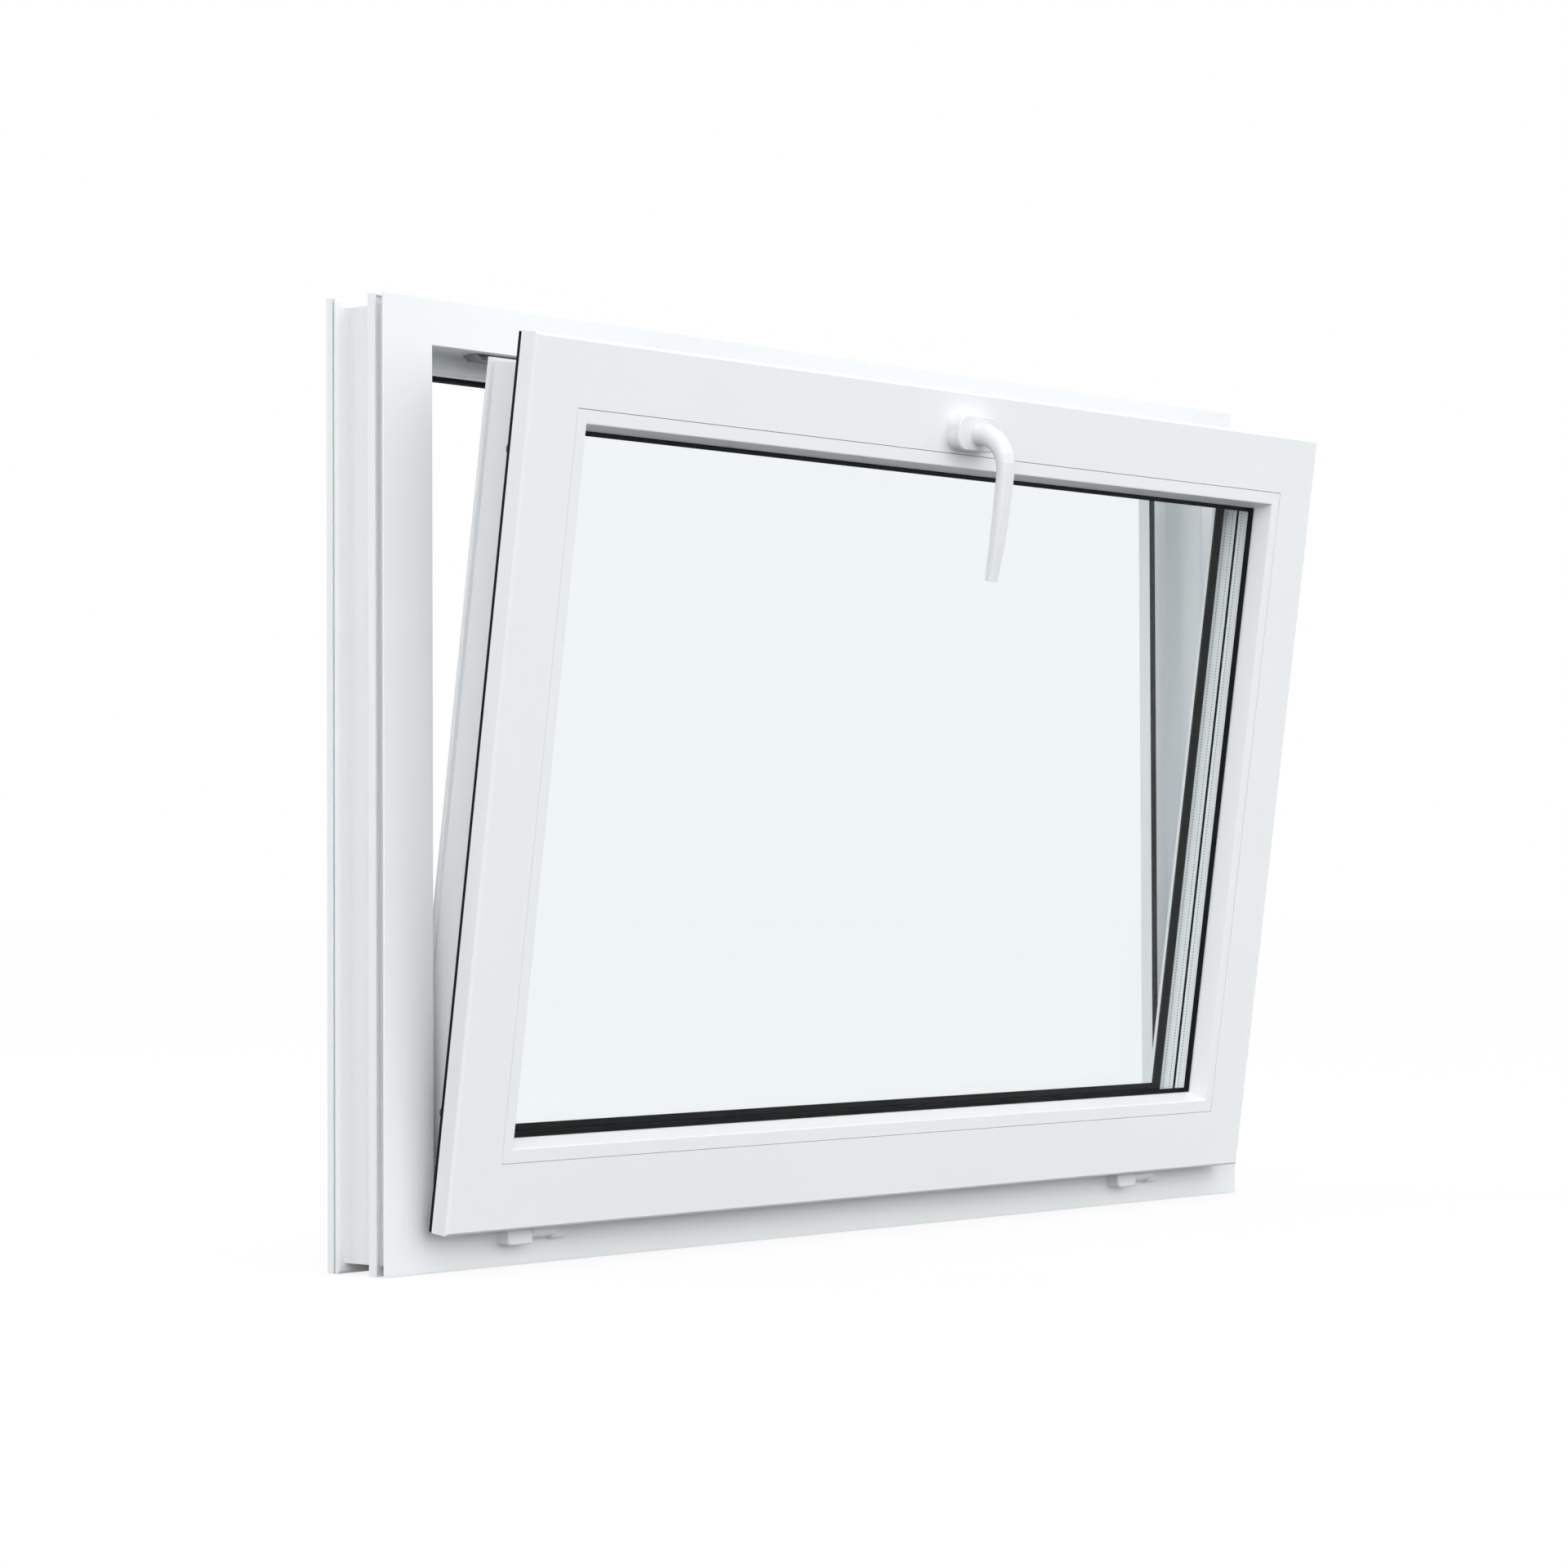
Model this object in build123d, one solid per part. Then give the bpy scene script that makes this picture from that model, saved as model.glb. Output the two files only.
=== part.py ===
from build123d import *
import math
import os

# Bottom-hung uPVC window, seen from the room: X to the right, Y to the outside, Z up.
# The origin is the middle of the sill's underside, on the land that seats on the wall opening.

# Frame
FRAME_WIDTH = 1275.0
FRAME_HEIGHT = 840.0
FRAME_DEPTH = 70.0
HEAD_FACE = 41.0
JAMB_FACE = 59.5
SEAT_FROM_ROOM = 13.0
ROOM_FACE_Y = -SEAT_FROM_ROOM
STOP_FROM_ROOM = 50.0
REBATE_FALL = 3.0
STOP_RISE = 23.0
SEAL_RISE = 5.2
NOSE_FALL = 4.5
CORNER_DEPTH = 20.0

# Sash, measured on its own room face
SASH_WIDTH = 1190.0
SASH_HEIGHT = 772.0
SASH_DEPTH = 78.0
OVERLAP_THICKNESS = 17.8
BODY_INSET = 26.5
LIP_INSET = 23.5
BEAD_LINE = 59.3
BEAD_EDGE = 72.0
BEAD_SIGHT = 78.0

# Triple glazing
PANE = 4.0
CAVITY = 16.0
GLASS_FROM_ROOM = 22.0
GLASS_INSET = 57.0
MIDDLE_INSET = 60.0
SPACER_INSET = 71.0
SPACER_HEIGHT = 7.0

# Hinges: the pin's line under the sash, and the sash's place when it is shut
HINGE_Y = ROOM_FACE_Y - 8.0
HINGE_Z = 29.5
SHUT_Y = ROOM_FACE_Y - 30.2
SHUT_Z = 36.5
TILT = 8.15
HINGE_CENTRES = (-462.5, 442.5)
BEARING_LENGTH = 31.0
BARREL_LENGTH = 31.0
LEAF_LENGTH = 17.0
BARREL_RADIUS = 6.3
PIN_RADIUS = 2.5
RUNNING_GAP = 0.1

# Handle
HANDLE_DROP = 38.5
ROSETTE_LENGTH = 62.0
ROSETTE_HEIGHT = 33.0
ROSETTE_BASE = 10.8
ROSETTE_COVER = 4.4
NECK_RADIUS = 11.3
NECK_REACH = 17.0
BEND_RADIUS = 33.5
BEND_STEPS = 7
LEVER_REACH = 137.0
GRIP_WIDTH = 19.6
GRIP_THICKNESS = 11.5
GRIP_RADIUS = 5.0
GRIP_STEPS = 3
TIP_WIDTH = 14.5
TIP_THICKNESS = 8.0
TIP_RADIUS = 3.5
TIP_LEAN = 3.2

# Locking gear and tilt stay
GROOVE_NEAR = 27.0
GROOVE_STEP = 16.0
STRIP_THICKNESS = 2.6
CAM_RADIUS = 5.0
CAM_HEIGHT = 9.0
CAM_FROM_END = 100.0
STAY_X = -509.0
STAY_LENGTH = 166.0
STAY_THICKNESS = 5.0
STAY_WIDTH = 18.0
STAY_TOP = FRAME_HEIGHT - HEAD_FACE + 0.5
ARM_FRAME_PIN = (-365.0, 10.0)
ARM_SASH_PIN = (-150.0, -115.7)
ARM_THICKNESS = 3.0


def section(points):
    """A flat outline from (x, y, corner radius) points."""
    path = FilletPolyline(*[(x, y) for x, y, r in points], radius=[r for x, y, r in points], close=True)
    return make_face(path)


def side_plane(side, width, height):
    """The section plane at the start of one side: x to the outside, y towards the opening."""
    left, right = -width / 2, width / 2
    start, inward = {
        "head": ((right, 0, height), (0, 0, -1)),
        "sill": ((left, 0, 0), (0, 0, 1)),
        "left": ((left, 0, height), (1, 0, 0)),
        "right": ((right, 0, 0), (-1, 0, 0)),
    }[side]
    along = Vector(0, 1, 0).cross(Vector(*inward))
    return Plane(origin=start, x_dir=(0, 1, 0), z_dir=along)


def sash_bar(outline, side):
    """A sash-section bar in the sash's own frame, mitred through the outer corners."""
    plane = side_plane(side, SASH_WIDTH, SASH_HEIGHT)
    length = SASH_WIDTH if side in ("head", "sill") else SASH_HEIGHT
    bar = extrude(plane * outline, amount=length, dir=plane.z_dir)
    half = length / 2
    middle = Plane(origin=plane.from_local_coords(Vector(0, 0, half)), x_dir=plane.y_dir, z_dir=plane.x_dir)
    wedge = make_face(Polyline((0, -half), (0, half), (half, 0), close=True))
    return bar & extrude(middle * wedge, amount=2 * SASH_DEPTH, both=True)


def frame_section(face):
    """Fixed frame: seat lands and wall recess outside, sloped rebate and stop inside."""
    corner = face - REBATE_FALL
    tip = face + STOP_RISE
    stop = STOP_FROM_ROOM
    return section([
        (0, 0, 0.5), (1.6, 0, 0), (1.6, 8.5, 0), (14.4, 8.5, 0), (14.4, 3, 0), (10.5, 1.8, 0), (10.5, 0, 0),
        (19.2, 0, 0), (19.2, 2.5, 0), (17.2, 4.5, 0), (17.2, 8.8, 0), (57.4, 8.8, 0), (57.4, 2.5, 0),
        (58.6, 0, 0), (60.4, 0, 0), (60.4, 6, 0), (62.7, 6, 0), (62.7, 0, 0),
        (FRAME_DEPTH, 0, 0), (FRAME_DEPTH, tip - NOSE_FALL, 3.0), (stop + 2, tip, 0),
        (stop + 4, tip - 1, 0), (stop + 4, tip - SEAL_RISE, 0), (stop - 1, tip - SEAL_RISE, 0),
        (stop - 1, tip - 7.4, 0), (stop, tip - 8.4, 0), (stop, corner, 1.0),
        (3, face, 0), (0, face - 0.6, 0.5),
    ])


def stop_seal_section(face):
    """Rubber seal on the stop's nose: a root in its seat and a low bulb towards the sash."""
    tip = face + STOP_RISE
    stop = STOP_FROM_ROOM
    return section([
        (stop + 2, tip, 0), (stop + 4, tip - 1, 0), (stop + 4, tip - SEAL_RISE, 0),
        (stop - 1, tip - SEAL_RISE, 0), (stop - 1.8, tip - SEAL_RISE + 0.8, 0), (stop - 1.4, tip - 1.6, 1.2),
    ])


def sash_section():
    """Sash: room-side overlap, hardware groove, outer lip and the rebate that takes the glass."""
    back = OVERLAP_THICKNESS
    groove = GROOVE_NEAR
    far = GROOVE_NEAR + GROOVE_STEP
    body = BODY_INSET
    glass_back = GLASS_FROM_ROOM + 3 * PANE + 2 * CAVITY + 2.0
    base = 53.0
    return section([
        (0, 2.3, 0.6), (2.3, 0, 0.8), (back, 0, 0), (back, 2.2, 0), (back - 2.5, 2.2, 0),
        (back - 2.5, 4.4, 0), (back, 4.4, 0), (back, body - 2, 0), (back + 2, body, 0),
        (groove, body, 0), (groove, body + 3, 0), (groove + 2, body + 3, 0), (groove + 2, body + 9, 0),
        (far - 2, body + 9, 0), (far - 2, body + 3, 0), (far, body + 3, 0), (far, body, 0),
        (71.6, body, 0), (72.2, body + 1.2, 0), (73.2, body + 1.2, 0), (73.8, LIP_INSET, 0.6),
        (SASH_DEPTH, LIP_INSET, 0.8), (SASH_DEPTH, 70, 1.5), (75, BEAD_SIGHT - 3, 1.5),
        (glass_back + 1, BEAD_SIGHT, 0), (glass_back, BEAD_SIGHT - 1, 0),
        (glass_back, base, 0), (22, base, 0), (22, base - 2.5, 0), (17, base - 2.5, 0),
        (17, base, 0), (6, base, 0), (6, 56.4, 0), (2.6, BEAD_LINE, 0), (0, BEAD_LINE, 0),
    ])


def overlap_seal_section():
    """Rubber seal behind the overlap: a root in its groove and a lip that meets the frame."""
    back = OVERLAP_THICKNESS
    return section([
        (back - 2.3, 2.3, 0), (back, 2.3, 0), (back, 0.5, 0), (back + 4.6, 0.7, 0.9),
        (back + 3.4, 5.4, 1.2), (back, 6.2, 0), (back, 4.3, 0), (back - 2.3, 4.3, 0),
    ])


def bead_section():
    """Glazing bead: flat front, crisp sight edge, sloped reveal and a foot hooked in the sash."""
    line = BEAD_LINE + 0.5
    sight = BEAD_SIGHT
    return section([
        (0.2, line, 0), (0.2, BEAD_EDGE, 1.3), (17.0, sight - 0.2, 0.6),
        (19.6, sight, 0), (19.6, 56.8, 0), (21.5, 55.4, 0), (21.5, 51, 0), (17.4, 51, 0),
        (17.4, 53.4, 0), (6.4, 53.4, 0), (6.4, 56.9, 0), (3.2, line, 0),
    ])


def room_gasket_section():
    """Wedge gasket between the bead and the glass."""
    near = GLASS_FROM_ROOM
    return section([
        (near, 68, 0), (near, 82.2, 0), (near - 1.4, 82.2, 0.5), (near - 4.4, BEAD_SIGHT + 0.5, 0.4),
        (near - 2.3, BEAD_SIGHT + 0.1, 0), (near - 2.3, 68, 0),
    ])


def outer_gasket_section():
    """Flat gasket between the glass and the sash's outer leg."""
    far = GLASS_FROM_ROOM + 3 * PANE + 2 * CAVITY
    return section([
        (far, 66, 0), (far + 1.9, 66, 0), (far + 1.9, BEAD_SIGHT + 0.2, 0), (far + 2.6, BEAD_SIGHT + 0.6, 0),
        (far + 2.2, BEAD_SIGHT + 2, 0.6), (far, BEAD_SIGHT + 2, 0),
    ])


def spacer_section(cavity):
    """Spacer bar with sloped shoulders, from glass to glass in one cavity."""
    near = GLASS_FROM_ROOM + PANE + cavity * (PANE + CAVITY)
    top = SPACER_INSET
    foot = SPACER_INSET - SPACER_HEIGHT
    return section([
        (near, foot + 2, 0), (near + 3, foot, 0), (near + CAVITY - 3, foot, 0),
        (near + CAVITY, foot + 2, 0), (near + CAVITY, top, 0), (near, top, 0),
    ])


def edge_seal_section():
    """Black sealant behind both spacer bars, closed round the middle pane's edge."""
    near = GLASS_FROM_ROOM + PANE
    far = near + 2 * CAVITY + PANE
    pane = near + CAVITY
    foot = SPACER_INSET - SPACER_HEIGHT - 0.1
    return section([
        (near, GLASS_INSET + 0.5, 0), (far, GLASS_INSET + 0.5, 0),
        (far, foot + 2, 0), (far - 3, foot, 0), (pane + PANE + 3, foot, 0), (pane + PANE, foot + 2, 0),
        (pane + PANE, MIDDLE_INSET - 0.1, 0), (pane, MIDDLE_INSET - 0.1, 0),
        (pane, foot + 2, 0), (pane - 3, foot, 0), (near + 3, foot, 0), (near, foot + 2, 0),
    ])


def corner_line(sx, sz):
    """The frame's corner joint from outside in: 45 degrees, a step, and 45 degrees again."""
    half_x, half_z = FRAME_WIDTH / 2, FRAME_HEIGHT / 2
    step = JAMB_FACE - HEAD_FACE
    points = [
        (half_x + 10, half_z + 10), (half_x - CORNER_DEPTH, half_z - CORNER_DEPTH),
        (half_x - CORNER_DEPTH - step, half_z - CORNER_DEPTH), (half_x - step - 100, half_z - 100),
    ]
    return [(sx * x, half_z + sz * z) for x, z in points]


def corner_region(side):
    """The part of the frame's elevation that belongs to one side, as a slab through the depth."""
    if side == "head" or side == "sill":
        sz = 1 if side == "head" else -1
        points = corner_line(-1, sz) + corner_line(1, sz)[::-1]
    else:
        sx = -1 if side == "left" else 1
        points = corner_line(sx, 1) + corner_line(sx, -1)[::-1]
    outline = Plane.XZ * make_face(Polyline(*points, close=True))
    return extrude(outline, amount=2 * FRAME_DEPTH, both=True)


def frame_bar(outline, side):
    """A frame-section bar on its side of the frame, cut to the corner joints."""
    plane = side_plane(side, FRAME_WIDTH, FRAME_HEIGHT)
    length = FRAME_WIDTH if side in ("head", "sill") else FRAME_HEIGHT
    bar = extrude(plane * outline, amount=length, dir=plane.z_dir)
    return Pos(0, ROOM_FACE_Y, 0) * (bar & corner_region(side))


def sash_place():
    """Where the tilted sash stands: turned about the hinge pins from its shut place."""
    shut = Pos(0, SHUT_Y - HINGE_Y, SHUT_Z - HINGE_Z)
    return Pos(0, HINGE_Y, HINGE_Z) * Rot(TILT, 0, 0) * shut


def glass_pane(number):
    """One pane of the triple unit, in the sash's own frame."""
    near = GLASS_FROM_ROOM + number * (PANE + CAVITY)
    inset = MIDDLE_INSET if number == 1 else GLASS_INSET
    pane = Box(SASH_WIDTH - 2 * inset, PANE, SASH_HEIGHT - 2 * inset)
    return Pos(0, near + PANE / 2, SASH_HEIGHT / 2) * pane


def handle_plane():
    """The handle's own plane on the sash: x to the right, y up the sash, z into the room."""
    return Plane(origin=(0, 0, SASH_HEIGHT - HANDLE_DROP), x_dir=(1, 0, 0), z_dir=(0, -1, 0))


def rosette_base():
    """Housing of the detent, screwed to the top rail."""
    foot = extrude(RectangleRounded(ROSETTE_LENGTH, ROSETTE_HEIGHT, 13.0), amount=ROSETTE_BASE)
    return handle_plane() * (foot - Cylinder(NECK_RADIUS + 0.3, 40))


def rosette_cover():
    """Snap-on cover plate with a bevelled front edge and the neck's hole."""
    plate = extrude(RectangleRounded(ROSETTE_LENGTH + 0.6, ROSETTE_HEIGHT + 0.6, 13.3), amount=ROSETTE_COVER)
    front = plate.faces().sort_by(Axis.Z)[-1]
    plate = chamfer(front.edges(), 1.2)
    plate = Pos(0, 0, ROSETTE_BASE) * plate - Cylinder(NECK_RADIUS + 0.2, 60)
    return handle_plane() * plate


def lever_section(depth, drop, slope, width, thickness, radius):
    """One rounded section of the lever, square to its path."""
    turn = math.radians(slope)
    along = Vector(0, -math.sin(turn), math.cos(turn))
    plane = Plane(origin=(0, -drop, depth), x_dir=(1, 0, 0), z_dir=along)
    return plane * RectangleRounded(width, thickness, radius)


def lever():
    """Round neck that bends down through a quarter turn into a flat tapering grip."""
    neck = 2 * NECK_RADIUS
    round_off = NECK_RADIUS - 0.1
    sections = [lever_section(5.0, 0, 0, neck, neck, round_off)]
    for step in range(BEND_STEPS + 1):
        share = step / BEND_STEPS
        turn = math.radians(90 * share)
        depth = NECK_REACH + BEND_RADIUS * math.sin(turn)
        drop = BEND_RADIUS * (1 - math.cos(turn))
        width = neck + (GRIP_WIDTH - neck) * share
        thickness = neck + (GRIP_THICKNESS - neck) * share
        radius = round_off + (GRIP_RADIUS - round_off) * share
        sections.append(lever_section(depth, drop, 90 * share, width, thickness, radius))
    for step in range(1, GRIP_STEPS + 1):
        share = step / GRIP_STEPS
        taper = share ** 1.5
        depth = NECK_REACH + BEND_RADIUS - TIP_LEAN * share ** 3
        drop = BEND_RADIUS + share * (LEVER_REACH - BEND_RADIUS)
        slope = 90 + math.degrees(math.atan(3 * TIP_LEAN * share ** 2 / (LEVER_REACH - BEND_RADIUS)))
        width = GRIP_WIDTH + (TIP_WIDTH - GRIP_WIDTH) * taper
        thickness = GRIP_THICKNESS + (TIP_THICKNESS - GRIP_THICKNESS) * taper
        radius = GRIP_RADIUS + (TIP_RADIUS - GRIP_RADIUS) * taper
        sections.append(lever_section(depth, drop, slope, width, thickness, radius))
    return handle_plane() * loft(sections, ruled=True)


def hinge_bearing(centre):
    """Frame half of a hinge: rounded bearing block, end leaf, back plate and pin, in one piece."""
    length = BEARING_LENGTH + BARREL_LENGTH + LEAF_LENGTH
    left = centre - length / 2
    low = HINGE_Z - 11.0
    front = Plane(origin=(left, ROOM_FACE_Y, low), x_dir=(1, 0, 0), z_dir=(0, -1, 0))
    block_outline = section([(0, 0, 4.5), (BEARING_LENGTH, 0, 0), (BEARING_LENGTH, 14, 0), (0, 14, 0)])
    block = extrude(front * block_outline, amount=15)
    block = chamfer(block.faces().sort_by(Axis.Y)[0].edges(), 1.2)
    leaf_outline = section([(0, 0, 0), (-7.5, 0, 3.0), (-7.5, 12, 0), (0, 12, 0)])
    plate_outline = section([(0, 0, 0), (-1.4, 0, 0), (-1.4, 18, 0), (0, 18, 0)])
    leaf_x = left + BEARING_LENGTH + BARREL_LENGTH
    leaf = extrude(yz(leaf_x, low + 2) * leaf_outline, amount=LEAF_LENGTH, dir=(1, 0, 0))
    plate = extrude(yz(left, low + 2) * plate_outline, amount=length, dir=(1, 0, 0))
    pin = Pos(left + 10 + 28, HINGE_Y, HINGE_Z) * Rot(0, 90, 0) * Cylinder(PIN_RADIUS, 56)
    return block + leaf + plate + pin


def yz(x, z):
    """A plane across X on the frame's room face: local x to the outside, local y up."""
    return Plane(origin=(x, ROOM_FACE_Y, z), x_dir=(0, 1, 0), z_dir=(1, 0, 0))


def hinge_leaf(centre):
    """Sash half of a hinge: bored barrel, and the arm that runs under the sash body."""
    length = BEARING_LENGTH + BARREL_LENGTH + LEAF_LENGTH
    start = centre - length / 2 + BEARING_LENGTH + 0.4
    run = BARREL_LENGTH - 0.8
    middle = (start + run / 2, HINGE_Y, HINGE_Z)
    barrel = Pos(*middle) * Rot(0, 90, 0) * Cylinder(BARREL_RADIUS, run)
    bore = Pos(*middle) * Rot(0, 90, 0) * Cylinder(PIN_RADIUS + RUNNING_GAP, run + 2)
    arm_plane = Plane(origin=(start, 0, 0), x_dir=(0, 1, 0), z_dir=(1, 0, 0))
    under = BODY_INSET
    arm_outline = section([
        (24.4, -7.5, 0), (27.4, -7.5, 0), (27.4, under - 3, 0.8), (62, under - 3, 0.5),
        (62, under, 0), (24.4, under, 0.8),
    ])
    arm = sash_place() * extrude(arm_plane * arm_outline, amount=run, dir=(1, 0, 0))
    return barrel + arm - bore


def gear_strip(side):
    """Steel strip of the locking gear in the sash groove, with its roller cams."""
    near = GROOVE_NEAR + 0.2
    far = near + GROOVE_STEP - 0.4
    low = BODY_INSET + 0.3
    strip = sash_bar(section([
        (near, low, 0), (far, low, 0), (far, low + STRIP_THICKNESS, 0), (near, low + STRIP_THICKNESS, 0),
    ]), side)
    plane = side_plane(side, SASH_WIDTH, SASH_HEIGHT)
    length = SASH_WIDTH if side == "head" else SASH_HEIGHT
    for place in (CAM_FROM_END, length - CAM_FROM_END):
        spot = plane.from_local_coords(Vector((near + far) / 2, low, place))
        cam_plane = Plane(origin=spot, z_dir=-plane.y_dir)
        strip = strip + cam_plane * cam()
    return strip


def cam():
    """Roller cam that stands up from the strip."""
    return Pos(0, 0, CAM_HEIGHT / 2) * Cylinder(CAM_RADIUS, CAM_HEIGHT)


def stay_bracket():
    """Flat steel keep of the tilt stay, under the head's rebate."""
    side = section([
        (0, 0, 0), (7, -STAY_THICKNESS, 0), (STAY_LENGTH, -STAY_THICKNESS, 1.0), (STAY_LENGTH, 0, 0),
    ])
    near = ARM_FRAME_PIN[1] - STAY_WIDTH / 2
    plane = Plane(origin=(STAY_X, near, STAY_TOP), x_dir=(1, 0, 0), z_dir=(0, -1, 0))
    return extrude(plane * side, amount=STAY_WIDTH, dir=(0, 1, 0))


def stay_arm():
    """Steel arm that holds the tilt: a pin at the head's keep, and a pin in a shoe on the sash's strip."""
    top = STAY_TOP - STAY_THICKNESS - 2.0
    reach_x = ARM_SASH_PIN[0] - ARM_FRAME_PIN[0]
    reach_y = ARM_SASH_PIN[1] - ARM_FRAME_PIN[1]
    length = math.hypot(reach_x, reach_y)
    turn = math.degrees(math.atan2(reach_y, reach_x))
    blade = extrude(SlotCenterToCenter(length, STAY_WIDTH), amount=ARM_THICKNESS)
    middle = ((ARM_FRAME_PIN[0] + ARM_SASH_PIN[0]) / 2, (ARM_FRAME_PIN[1] + ARM_SASH_PIN[1]) / 2)
    blade = Pos(*middle, top - ARM_THICKNESS) * Rot(0, 0, turn) * blade
    frame_pin = Pos(*ARM_FRAME_PIN, top + 0.45) * Cylinder(4.5, 3.0)
    sash_pin = Pos(*ARM_SASH_PIN, top - 6.0) * Cylinder(4.0, 10.0)
    shoe = Pos(ARM_SASH_PIN[0], GROOVE_NEAR + GROOVE_STEP / 2, SASH_HEIGHT - BODY_INSET + 2.3) * Box(34, 13, 5)
    return blade + frame_pin + sash_pin + sash_place() * shoe


def build():
    """Every sub-part by its node's name, in the window's own frame."""
    nodes = {}
    place = sash_place()
    sides = {"head": "head", "sill": "sill", "left": "jamb_left", "right": "jamb_right"}
    rails = {"head": "rail_top", "sill": "rail_bottom", "left": "stile_left", "right": "stile_right"}
    ends = {"head": "top", "sill": "bottom", "left": "left", "right": "right"}
    for side, name in sides.items():
        face = HEAD_FACE if side in ("head", "sill") else JAMB_FACE
        nodes["frame_" + name] = frame_bar(frame_section(face), side)
        nodes["stop_seal_" + ends[side]] = frame_bar(stop_seal_section(face), side)
    for side, name in rails.items():
        end = ends[side]
        nodes["sash_" + name] = place * sash_bar(sash_section(), side)
        nodes["overlap_seal_" + end] = place * sash_bar(overlap_seal_section(), side)
        nodes["glazing_bead_" + end] = place * sash_bar(bead_section(), side)
        gaskets = [sash_bar(room_gasket_section(), side), sash_bar(outer_gasket_section(), side)]
        nodes["glazing_gasket_" + end] = place * Compound(children=gaskets)
        spacers = [sash_bar(spacer_section(0), side), sash_bar(spacer_section(1), side)]
        nodes["glass_spacer_" + end] = place * Compound(children=spacers)
        nodes["glass_edge_seal_" + end] = place * sash_bar(edge_seal_section(), side)
    for number, name in enumerate(("room", "middle", "outside")):
        nodes["glass_pane_" + name] = place * glass_pane(number)
    nodes["handle_rosette_base"] = place * rosette_base()
    nodes["handle_rosette_cover"] = place * rosette_cover()
    nodes["handle_lever"] = place * lever()
    for centre, end in zip(HINGE_CENTRES, ("left", "right")):
        nodes["hinge_bearing_" + end] = hinge_bearing(centre)
        nodes["hinge_leaf_" + end] = hinge_leaf(centre)
    for side, end in (("left", "left"), ("right", "right"), ("head", "top")):
        nodes["gear_strip_" + end] = place * gear_strip(side)
    nodes["stay_bracket"] = stay_bracket()
    nodes["stay_arm"] = stay_arm()
    return nodes


os.makedirs("parts", exist_ok=True)
for node, solid in build().items():
    export_step(solid, "parts/" + node + ".step")
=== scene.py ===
from math import pi, radians

import bmesh
import bpy
from mathutils import Euler, Matrix, Vector


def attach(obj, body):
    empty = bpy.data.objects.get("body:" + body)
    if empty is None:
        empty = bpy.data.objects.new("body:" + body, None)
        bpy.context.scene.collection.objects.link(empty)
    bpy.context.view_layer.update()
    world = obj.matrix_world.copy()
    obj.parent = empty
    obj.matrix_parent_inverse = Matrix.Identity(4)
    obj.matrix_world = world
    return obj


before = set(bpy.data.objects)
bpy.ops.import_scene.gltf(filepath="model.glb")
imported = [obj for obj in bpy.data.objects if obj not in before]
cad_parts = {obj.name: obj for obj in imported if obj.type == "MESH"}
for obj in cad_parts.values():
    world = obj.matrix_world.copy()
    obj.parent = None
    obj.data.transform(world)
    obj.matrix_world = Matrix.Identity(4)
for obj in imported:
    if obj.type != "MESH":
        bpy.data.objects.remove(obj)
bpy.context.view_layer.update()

# Sash frame: its room face's foot, and its tilt into the room
SASH_WIDTH = 1.190
SASH_HEIGHT = 0.772
TILT = radians(8.15)
SASH_FOOT = Vector((0.0, -0.043968, 0.033282))
SASH_PLACE = Matrix.Translation(SASH_FOOT) @ Matrix.Rotation(TILT, 4, "X")

# Triple glazing: depth of the first pane's room face, thickness of a pane and of a cavity
GLASS_DEPTH = 0.022
PANE = 0.004
CAVITY = 0.016

# Spacer bars: inset of the face in view and of the hidden foot, and the perforations,
# dark discs of painted shade that stand a hair proud of the bar
SPACER_LINE = 0.071
SPACER_FOOT = 0.0644
HOLE_PITCH = 0.00315
HOLE_RADIUS = 0.00068
HOLE_ROWS = (0.0042, 0.0122)
HOLE_LIFT = 0.00006

# Butyl between spacer and pane: depth inside the glass, thickness, and gap to the sight line
BUTYL_DEPTH = 0.0003
BUTYL_THICKNESS = 0.0002
BUTYL_GAP = 0.0001

# Camera of the photograph, fitted to the corners of frame and sash
CAMERA_PLACE = Vector((-3.18633, -2.62032, 0.33082))
CAMERA_YAW = radians(49.708)
CAMERA_PITCH = radians(1.375)
CAMERA_ROLL = radians(-0.223)
CAMERA_LENS = 97.951

# World light: strength at the horizon and overhead, and the brighter side of the room,
# which is in front of the window on its left
HORIZON_LIGHT = 1.05
OVERHEAD_LIGHT = 0.45
BRIGHT_SIDE = (-0.43, -0.90, 0.03)
BRIGHT_SIDE_LIGHT = 1.55
LIGHT_COLOR = (0.99, 0.995, 1.0, 1)

# Floor: colour for bounced light, colour where it is seen, and the share of white there
FLOOR_SIZE = 30.0
FLOOR_DROP = 0.001
FLOOR_BOUNCE = (0.17, 0.18, 0.185, 1)
FLOOR_SEEN = (0.98, 0.98, 0.98, 1)
FLOOR_WHITE_SHARE = 0.85

# Part of a noise texture's range that is used, and the scale of the powder coat's grain
NOISE_LOW = 0.3
NOISE_HIGH = 0.7
GRAIN_SCALE = 900.0


def new_material(name):
    """An empty node material with a Principled shader on its output."""
    material = bpy.data.materials.new(name)
    material.use_nodes = True
    nodes = material.node_tree.nodes
    nodes.clear()
    shader = nodes.new("ShaderNodeBsdfPrincipled")
    output = nodes.new("ShaderNodeOutputMaterial")
    material.node_tree.links.new(shader.outputs["BSDF"], output.inputs["Surface"])
    return material, shader, output


def noise_on(material, scale, detail=2.0):
    """Noise on the piece's own coordinates."""
    nodes, links = material.node_tree.nodes, material.node_tree.links
    place = nodes.new("ShaderNodeTexCoord")
    noise = nodes.new("ShaderNodeTexNoise")
    noise.inputs["Scale"].default_value = scale
    noise.inputs["Detail"].default_value = detail
    links.new(place.outputs["Object"], noise.inputs["Vector"])
    return noise


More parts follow.
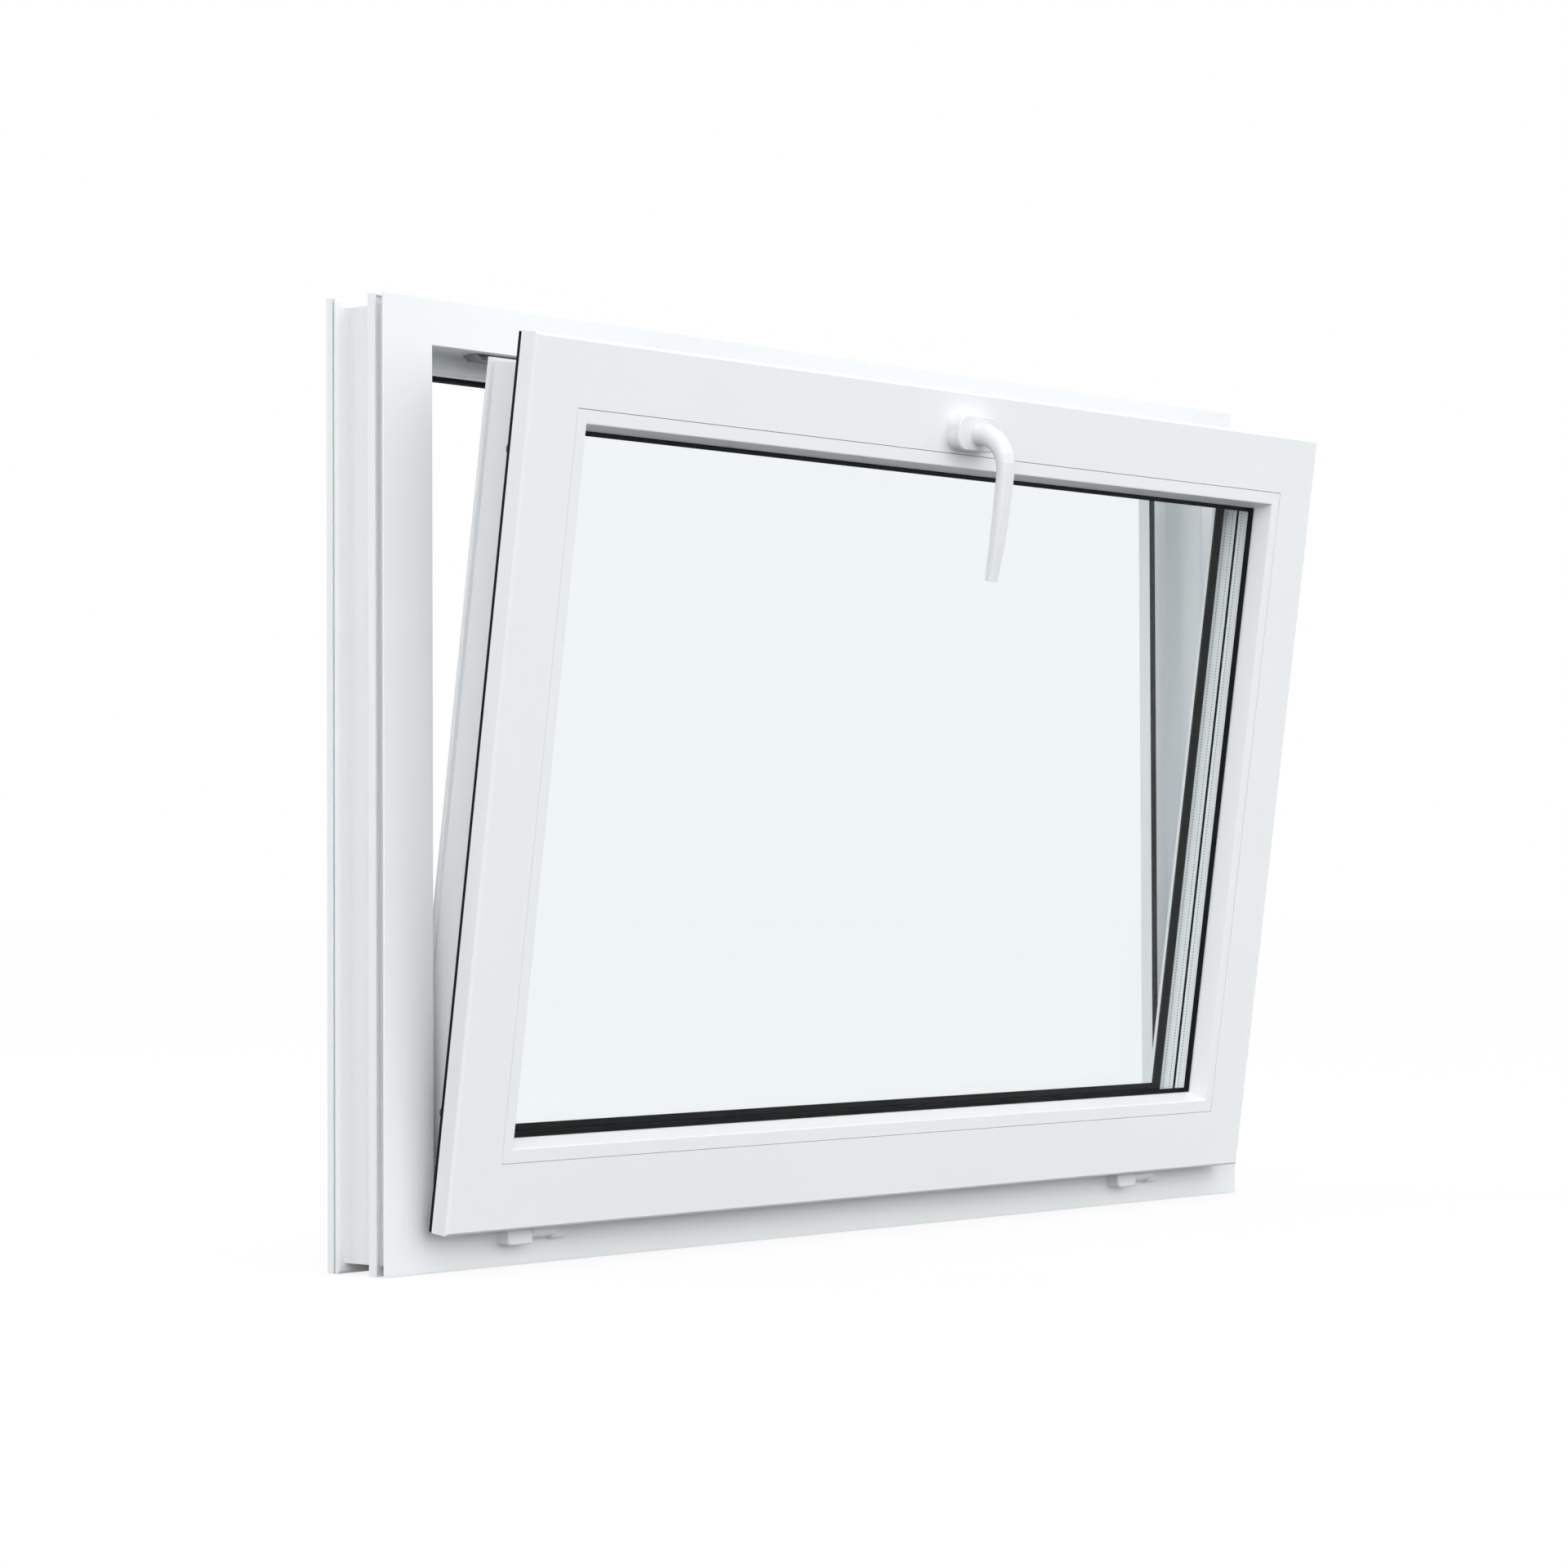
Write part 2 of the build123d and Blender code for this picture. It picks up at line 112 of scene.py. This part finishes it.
def spread(material, noise, low, high):
    """Noise brought into a narrow range."""
    nodes, links = material.node_tree.nodes, material.node_tree.links
    span = nodes.new("ShaderNodeMapRange")
    span.inputs["From Min"].default_value = NOISE_LOW
    span.inputs["From Max"].default_value = NOISE_HIGH
    span.inputs["To Min"].default_value = low
    span.inputs["To Max"].default_value = high
    links.new(noise.outputs["Fac"], span.inputs["Value"])
    return span.outputs["Result"]


def tinted(material, shader, color, other, scale):
    """Base colour that drifts softly between two close tones."""
    nodes, links = material.node_tree.nodes, material.node_tree.links
    mix = nodes.new("ShaderNodeMix")
    mix.data_type = "RGBA"
    mix.inputs[6].default_value = (*color, 1)
    mix.inputs[7].default_value = (*other, 1)
    links.new(spread(material, noise_on(material, scale), 0.0, 1.0), mix.inputs[0])
    links.new(mix.outputs[2], shader.inputs["Base Color"])


def grained(material, shader, scale, height):
    """Fine surface grain as bump."""
    nodes, links = material.node_tree.nodes, material.node_tree.links
    bump = nodes.new("ShaderNodeBump")
    bump.inputs["Strength"].default_value = 0.3
    bump.inputs["Distance"].default_value = height
    links.new(noise_on(material, scale, 3.0).outputs["Fac"], bump.inputs["Height"])
    links.new(bump.outputs["Normal"], shader.inputs["Normal"])


def plastic(name, color, other, low, high, scale=9.0, grain=0.0, shine=0.5):
    """A finish of two close tones whose roughness varies a little from low to high."""
    material, shader, _ = new_material(name)
    shader.inputs["Specular IOR Level"].default_value = shine
    tinted(material, shader, color, other, scale)
    roughness = spread(material, noise_on(material, scale * 6), low, high)
    material.node_tree.links.new(roughness, shader.inputs["Roughness"])
    if grain:
        grained(material, shader, GRAIN_SCALE, grain)
    return material


def white_upvc():
    """Satin white of frame, sash and glazing beads."""
    return plastic("white_upvc", (0.838, 0.854, 0.863), (0.828, 0.845, 0.854), 0.36, 0.44)


def white_coat():
    """Powder coat of handle and hinges, with a fine grain."""
    return plastic(
        "white_powder_coat", (0.80, 0.817, 0.828), (0.79, 0.808, 0.818), 0.28, 0.36, grain=0.00002)


def black_rubber():
    """Dull black of seals and glazing gaskets."""
    return plastic(
        "black_rubber", (0.005, 0.0055, 0.006), (0.008, 0.009, 0.0095), 0.55, 0.7, 30.0, shine=0.1)


def edge_sealant():
    """Dull black of the glazing unit's edge and of the butyl."""
    return plastic(
        "black_sealant", (0.004, 0.0045, 0.005), (0.007, 0.0075, 0.008), 0.6, 0.8, 40.0, shine=0.1)


def spacer_bar():
    """Pale bars that hold the panes apart."""
    return plastic("grey_spacer", (0.91, 0.94, 0.945), (0.88, 0.91, 0.92), 0.4, 0.5, 60.0)


def zinc_steel_painted_shade():
    """Zinc plate of stay and gear, its grey made darker with painted shade of where they sit."""
    # Dark grey: partly the zinc plate's own colour, partly painted shade
    material = plastic(
        "zinc_plated_steel_painted_shade", (0.15, 0.155, 0.16), (0.11, 0.115, 0.12), 0.3, 0.45, 80.0)
    shader = next(n for n in material.node_tree.nodes if n.type == "BSDF_PRINCIPLED")
    shader.inputs["Metallic"].default_value = 0.9
    return material


def spacer_hole():
    """Painted shade: near black for the hollow inside of the spacer bars, seen in their
    perforations.
    """
    return plastic(
        "spacer_perforation_painted_shade", (0.02, 0.024, 0.026), (0.03, 0.034, 0.036), 0.7, 0.9, 60.0)


def window_glass():
    """Clear glass of little gloss; soft light and shadows pass straight through it."""
    material, shader, output = new_material("clear_glass")
    nodes, links = material.node_tree.nodes, material.node_tree.links
    shader.inputs["Base Color"].default_value = (0.955, 0.969, 0.972, 1)
    shader.inputs["Roughness"].default_value = 0.0
    shader.inputs["IOR"].default_value = 1.12
    shader.inputs["Transmission Weight"].default_value = 1.0
    clear = nodes.new("ShaderNodeBsdfTransparent")
    clear.inputs["Color"].default_value = (0.993, 0.998, 0.999, 1)
    path = nodes.new("ShaderNodeLightPath")
    soft = nodes.new("ShaderNodeMath")
    soft.operation = "MAXIMUM"
    links.new(path.outputs["Is Shadow Ray"], soft.inputs[0])
    links.new(path.outputs["Is Diffuse Ray"], soft.inputs[1])
    mix = nodes.new("ShaderNodeMixShader")
    links.new(soft.outputs[0], mix.inputs["Fac"])
    links.new(shader.outputs["BSDF"], mix.inputs[1])
    links.new(clear.outputs["BSDF"], mix.inputs[2])
    links.new(mix.outputs["Shader"], output.inputs["Surface"])
    return material


def dress(finish, *starts):
    """Gives every CAD node whose name begins so its finish."""
    for name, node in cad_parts.items():
        if name.startswith(starts):
            node.data.materials.clear()
            node.data.materials.append(finish)


def piece(name, mesh, finish, body="window"):
    """Makes a finished mesh one of the window's pieces."""
    data = bpy.data.meshes.new(name)
    mesh.to_mesh(data)
    mesh.free()
    data.materials.append(finish)
    made = bpy.data.objects.new(name, data)
    bpy.context.scene.collection.objects.link(made)
    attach(made, body)
    return made


def hole_row(mesh, start, along, face, length):
    """One row of round perforations, from start along a spacer's face."""
    count = int(length / HOLE_PITCH)
    first = (length - (count - 1) * HOLE_PITCH) / 2
    turn = face.to_track_quat("Z", "Y").to_matrix().to_4x4()
    for step in range(count):
        spot = start + along * (first + step * HOLE_PITCH)
        place = SASH_PLACE @ Matrix.Translation(spot) @ turn
        bmesh.ops.create_circle(mesh, cap_ends=True, segments=6, radius=HOLE_RADIUS, matrix=place)


def spacer_holes(end, finish):
    """Both rows of perforations on both spacer bars of one side."""
    mesh = bmesh.new()
    half = SASH_WIDTH / 2 - SPACER_LINE
    low, high = SPACER_LINE, SASH_HEIGHT - SPACER_LINE
    start, along, face, length = {
        "top": ((-half, 0, high - HOLE_LIFT), (1, 0, 0), (0, 0, -1), 2 * half),
        "bottom": ((-half, 0, low + HOLE_LIFT), (1, 0, 0), (0, 0, 1), 2 * half),
        "left": ((-half + HOLE_LIFT, 0, low), (0, 0, 1), (1, 0, 0), high - low),
        "right": ((half - HOLE_LIFT, 0, low), (0, 0, 1), (-1, 0, 0), high - low),
    }[end]
    for cavity in range(2):
        near = GLASS_DEPTH + PANE + cavity * (PANE + CAVITY)
        for row in HOLE_ROWS:
            begin = Vector(start) + Vector((0, near + row, 0))
            hole_row(mesh, begin, Vector(along), Vector(face), length)
    return piece("spacer_holes_" + end, mesh, finish)


def butyl_seal(name, depth, finish):
    """Black butyl between a spacer frame and a pane, a thin ring just inside the glass."""
    mesh = bmesh.new()
    bmesh.ops.create_grid(mesh, x_segments=1, y_segments=1, size=0.5)
    wide = SASH_WIDTH - 2 * SPACER_FOOT
    high = SASH_HEIGHT - 2 * SPACER_FOOT
    bmesh.ops.scale(mesh, verts=mesh.verts, vec=(wide, high, 1))
    width = SPACER_LINE - SPACER_FOOT - BUTYL_GAP
    ring = bmesh.ops.inset_region(
        mesh, faces=mesh.faces[:], use_boundary=True, use_even_offset=True, thickness=width)["faces"]
    middle = [face for face in mesh.faces if face not in ring]
    bmesh.ops.delete(mesh, geom=middle, context="FACES")
    bmesh.ops.solidify(mesh, geom=mesh.faces[:], thickness=BUTYL_THICKNESS)
    stand = Matrix.Translation((0, depth, SASH_HEIGHT / 2)) @ Matrix.Rotation(pi / 2, 4, "X")
    bmesh.ops.transform(mesh, matrix=SASH_PLACE @ stand, verts=mesh.verts)
    bmesh.ops.recalc_face_normals(mesh, faces=mesh.faces)
    return piece(name, mesh, finish)


def studio_floor():
    """Floor of little bounce, nearly white where it is seen, with a faint shadow."""
    mesh = bmesh.new()
    bmesh.ops.create_grid(mesh, x_segments=1, y_segments=1, size=FLOOR_SIZE)
    bmesh.ops.translate(mesh, verts=mesh.verts, vec=(0, 0, -FLOOR_DROP))
    data = bpy.data.meshes.new("floor")
    mesh.to_mesh(data)
    mesh.free()
    floor = bpy.data.objects.new("floor", data)
    bpy.context.scene.collection.objects.link(floor)
    material, shader, output = new_material("pale_floor")
    shader.inputs["Roughness"].default_value = 0.9
    data.materials.append(material)
    nodes, links = material.node_tree.nodes, material.node_tree.links
    seen = seen_rays(material.node_tree)
    tone = nodes.new("ShaderNodeMix")
    tone.data_type = "RGBA"
    tone.inputs[6].default_value = FLOOR_BOUNCE
    tone.inputs[7].default_value = FLOOR_SEEN
    links.new(seen, tone.inputs[0])
    links.new(tone.outputs[2], shader.inputs["Base Color"])
    share = nodes.new("ShaderNodeMath")
    share.operation = "MULTIPLY"
    share.inputs[1].default_value = FLOOR_WHITE_SHARE
    links.new(seen, share.inputs[0])
    white = nodes.new("ShaderNodeEmission")
    mix = nodes.new("ShaderNodeMixShader")
    links.new(share.outputs[0], mix.inputs["Fac"])
    links.new(shader.outputs["BSDF"], mix.inputs[1])
    links.new(white.outputs["Emission"], mix.inputs[2])
    links.new(mix.outputs["Shader"], output.inputs["Surface"])


def seen_rays(tree):
    """1 for the rays that show the background: camera, glossy and through glass."""
    path = tree.nodes.new("ShaderNodeLightPath")
    seen = path.outputs["Is Camera Ray"]
    for other in ("Is Transmission Ray", "Is Glossy Ray"):
        both = tree.nodes.new("ShaderNodeMath")
        both.operation = "MAXIMUM"
        tree.links.new(seen, both.inputs[0])
        tree.links.new(path.outputs[other], both.inputs[1])
        seen = both.outputs[0]
    return seen


def studio_world():
    """Soft light from all round, more from one side, and plain white behind."""
    world = bpy.data.worlds.new("studio")
    bpy.context.scene.world = world
    world.use_nodes = True
    tree = world.node_tree
    nodes, links = tree.nodes, tree.links
    nodes.clear()
    output = nodes.new("ShaderNodeOutputWorld")
    place = nodes.new("ShaderNodeTexCoord")
    parts = nodes.new("ShaderNodeSeparateXYZ")
    links.new(place.outputs["Generated"], parts.inputs["Vector"])
    height = nodes.new("ShaderNodeMapRange")
    height.inputs["From Min"].default_value = 0.0
    height.inputs["From Max"].default_value = 1.0
    height.inputs["To Min"].default_value = HORIZON_LIGHT
    height.inputs["To Max"].default_value = OVERHEAD_LIGHT
    links.new(parts.outputs["Z"], height.inputs["Value"])
    toward = nodes.new("ShaderNodeVectorMath")
    toward.operation = "DOT_PRODUCT"
    toward.inputs[1].default_value = BRIGHT_SIDE
    links.new(place.outputs["Generated"], toward.inputs[0])
    side = nodes.new("ShaderNodeMapRange")
    side.interpolation_type = "SMOOTHSTEP"
    side.inputs["From Min"].default_value = 0.0
    side.inputs["From Max"].default_value = 1.0
    side.inputs["To Min"].default_value = 0.0
    side.inputs["To Max"].default_value = BRIGHT_SIDE_LIGHT
    links.new(toward.outputs["Value"], side.inputs["Value"])
    both = nodes.new("ShaderNodeMath")
    links.new(height.outputs["Result"], both.inputs[0])
    links.new(side.outputs["Result"], both.inputs[1])
    light = nodes.new("ShaderNodeBackground")
    light.inputs["Color"].default_value = LIGHT_COLOR
    links.new(both.outputs[0], light.inputs["Strength"])
    white = nodes.new("ShaderNodeBackground")
    white.inputs["Color"].default_value = (1, 1, 1, 1)
    mix = nodes.new("ShaderNodeMixShader")
    links.new(seen_rays(tree), mix.inputs["Fac"])
    links.new(light.outputs["Background"], mix.inputs[1])
    links.new(white.outputs["Background"], mix.inputs[2])
    links.new(mix.outputs["Shader"], output.inputs["Surface"])


def softbox(name, place, aim, size, power):
    """One soft lamp turned towards a point, which gives light but isn't seen itself."""
    data = bpy.data.lights.new(name, "AREA")
    data.shape = "RECTANGLE"
    data.size, data.size_y = size
    data.energy = power
    lamp = bpy.data.objects.new(name, data)
    bpy.context.scene.collection.objects.link(lamp)
    lamp.location = place
    lamp.rotation_euler = (Vector(aim) - Vector(place)).to_track_quat("-Z", "Y").to_euler()
    lamp.visible_camera = lamp.visible_transmission = lamp.visible_glossy = False


def photo_camera():
    """The photograph's viewpoint, level, roll and angle of view."""
    data = bpy.data.cameras.new("camera")
    data.sensor_width = 36.0
    data.sensor_fit = "HORIZONTAL"
    data.lens = CAMERA_LENS
    data.clip_start, data.clip_end = 0.05, 100.0
    camera = bpy.data.objects.new("camera", data)
    bpy.context.scene.collection.objects.link(camera)
    aim = Euler((pi / 2 + CAMERA_PITCH, 0, -CAMERA_YAW)).to_matrix()
    turn = aim @ Matrix.Rotation(CAMERA_ROLL, 3, "Z")
    camera.matrix_world = Matrix.Translation(CAMERA_PLACE) @ turn.to_4x4()
    bpy.context.scene.camera = camera


upvc = white_upvc()
coat = white_coat()
rubber = black_rubber()
sealant = edge_sealant()
dress(upvc, "frame_", "sash_", "glazing_bead_")
dress(rubber, "stop_seal_", "overlap_seal_", "glazing_gasket_")
dress(window_glass(), "glass_pane_")
dress(spacer_bar(), "glass_spacer_")
dress(sealant, "glass_edge_seal_")
dress(coat, "handle_", "hinge_")
dress(zinc_steel_painted_shade(), "gear_strip_", "stay_")
# The perforations are dark discs whose colour is painted shade of the bars' hollow inside
hole_shade_finish = spacer_hole()
for side in ("top", "bottom", "left", "right"):
    spacer_holes(side, hole_shade_finish)
first, second, third = (GLASS_DEPTH + step * (PANE + CAVITY) for step in range(3))
butyl_seal("butyl_room_pane", first + PANE - BUTYL_DEPTH, sealant)
butyl_seal("butyl_middle_pane_room_side", second + BUTYL_DEPTH, sealant)
butyl_seal("butyl_middle_pane_outer_side", second + PANE - BUTYL_DEPTH, sealant)
butyl_seal("butyl_outer_pane", third + BUTYL_DEPTH, sealant)

studio_floor()
studio_world()
softbox("room_softbox", (1.0, -3.0, 2.6), (0, 0, 0.4), (2.0, 2.0), 6.0)
softbox("outdoor_softbox", (-1.8, 3.2, 1.5), (0.3, 0, 0.4), (2.4, 2.4), 50.0)
photo_camera()

bpy.context.scene.view_settings.view_transform = "Standard"
